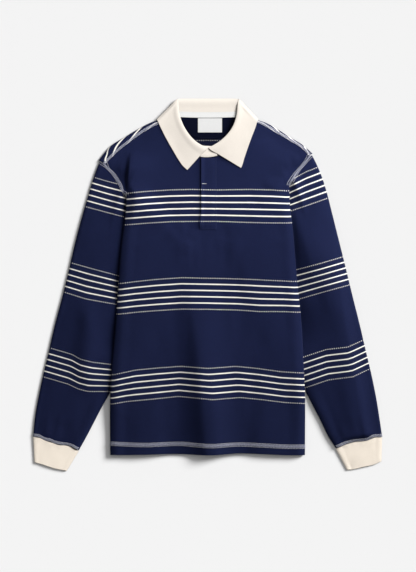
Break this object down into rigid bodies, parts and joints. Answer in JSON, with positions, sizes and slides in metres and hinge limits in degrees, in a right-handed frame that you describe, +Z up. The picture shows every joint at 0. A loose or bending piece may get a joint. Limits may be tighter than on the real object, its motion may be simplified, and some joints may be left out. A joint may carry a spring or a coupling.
{
  "type": "rugby shirt",
  "caption": "Long-sleeved rugby shirt laid flat, face up, with a turned-down collar, a short closed placket, rib cuffs and sides tucked under.",
  "frame": {"origin": "centre of the underside of the bounding box, on the surface the shirt lies on", "axes": "+X to the wearer's left sleeve as seen from above, +Y towards the collar, +Z up from the surface"},
  "size_m": [0.7236, 0.7751, 0.0237],
  "materials": {
    "navy_jersey": "heavy cotton jersey, navy",
    "cream_rib": "cotton twill and rib, cream",
    "white_tape": "woven tape, white"
  },
  "bodies": {
    "root": {"front": "navy_jersey", "back": "navy_jersey", "sleeve_left": "navy_jersey", "sleeve_right": "navy_jersey", "cuff_left": "cream_rib", "cuff_right": "cream_rib", "collar_fall": "cream_rib", "collar_stand": "cream_rib", "placket_over": "navy_jersey", "placket_under": "navy_jersey", "half_moon": "navy_jersey", "neck_tape": "white_tape", "neck_label": "white_tape"}
  },
  "joints": []
}
